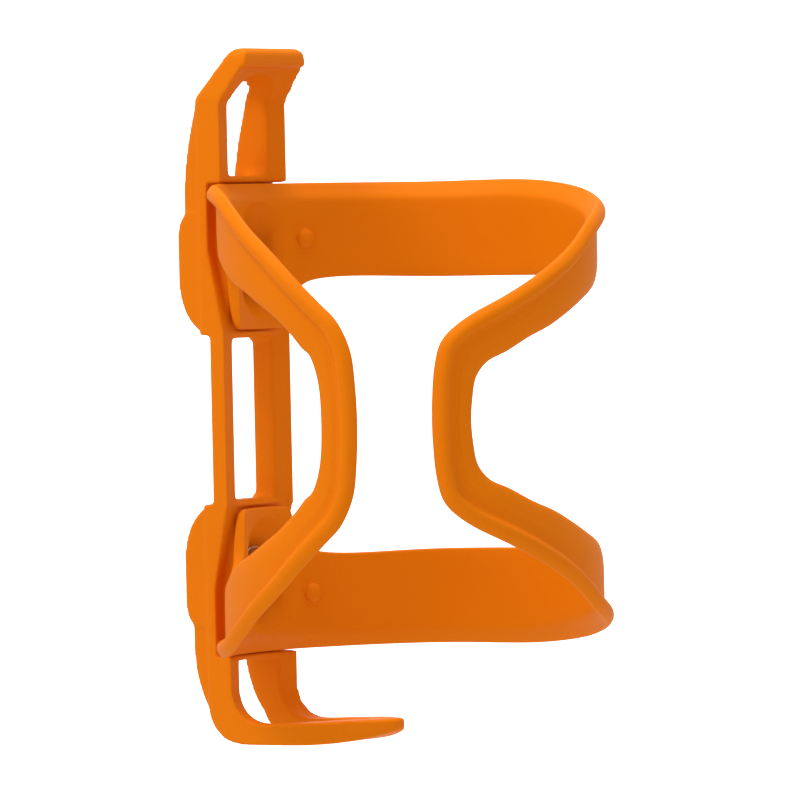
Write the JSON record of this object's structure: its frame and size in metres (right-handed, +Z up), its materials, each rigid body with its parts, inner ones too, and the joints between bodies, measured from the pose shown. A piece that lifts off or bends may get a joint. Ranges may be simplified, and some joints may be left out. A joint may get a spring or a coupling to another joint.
{
  "type": "bicycle water bottle cage",
  "caption": "Two-piece moulded side-entry bottle cage: a back spine with a hooked foot and leaning head, and a reversible wrap-round hoop bolted over it.",
  "frame": {"origin": "on the frame tube's face, which is the plane of the two mounting pads' backs, midway between the two bolts", "axes": "+X points from the frame tube to the bottle, +Z runs up the tube towards the cage's head, +Y is the closed side of the hoop"},
  "size_m": [0.0971, 0.0823, 0.1457],
  "materials": {
    "spine_plastic": "fine satin moulded grain",
    "hoop_plastic": "fine satin moulded grain",
    "stud_plastic": "satin",
    "bolt_steel": "satin stainless",
    "washer_steel": "satin stainless"
  },
  "bodies": {
    "root": {"back_spine": "spine_plastic", "side_entry_hoop": "hoop_plastic", "upper_mounting_bolt": "bolt_steel", "lower_mounting_bolt": "bolt_steel", "upper_washer": "washer_steel", "lower_washer": "washer_steel", "upper_far_grip_stud": "stud_plastic", "lower_far_grip_stud": "stud_plastic", "upper_near_grip_stud": "stud_plastic", "lower_near_grip_stud": "stud_plastic"}
  },
  "joints": []
}
